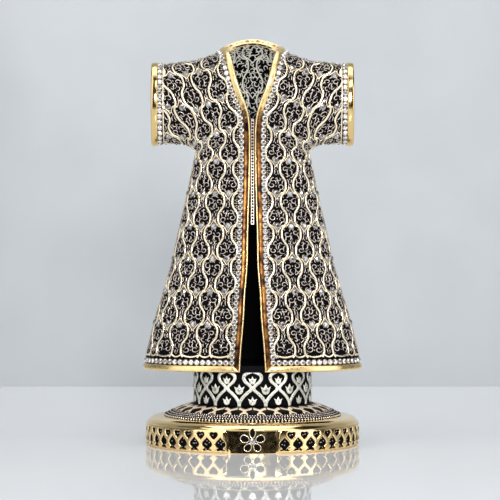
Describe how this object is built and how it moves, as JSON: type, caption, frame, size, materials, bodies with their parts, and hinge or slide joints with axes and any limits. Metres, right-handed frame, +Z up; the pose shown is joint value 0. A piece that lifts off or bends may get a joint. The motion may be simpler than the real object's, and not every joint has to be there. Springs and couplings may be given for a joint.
{
  "type": "ornamental kaftan on a round stand",
  "caption": "Hollow open-fronted kaftan with short straight sleeves, V neck and raised lattice, standing on a drum and a round openwork-style base.",
  "frame": {"origin": "centre of the base's underside, on the surface it stands on", "axes": "+Z up through the neck, -Y is the open front, +X is the wearer's left"},
  "size_m": [0.1094, 0.1079, 0.2029],
  "materials": {
    "lattice": "black enamel with raised pale gold lattice",
    "gold": "polished gold plate",
    "pale_gold": "antique pale gold plate",
    "black": "black enamel"
  },
  "bodies": {
    "root": {"front_left": "lattice", "front_right": "lattice", "back": "lattice", "sleeve_left": "lattice", "sleeve_right": "lattice", "front_band_left": "gold", "front_band_right": "gold", "hem_band_left": "gold", "hem_band_right": "gold", "hem_band_back": "gold", "cuff_band_left": "gold", "cuff_band_right": "gold", "neck_band": "gold", "closure_strip": "gold", "floor_plate": "black", "drum": "lattice", "petal_ring": "pale_gold", "bead_step": "pale_gold", "base": "gold", "base_flower": "pale_gold"}
  },
  "joints": []
}
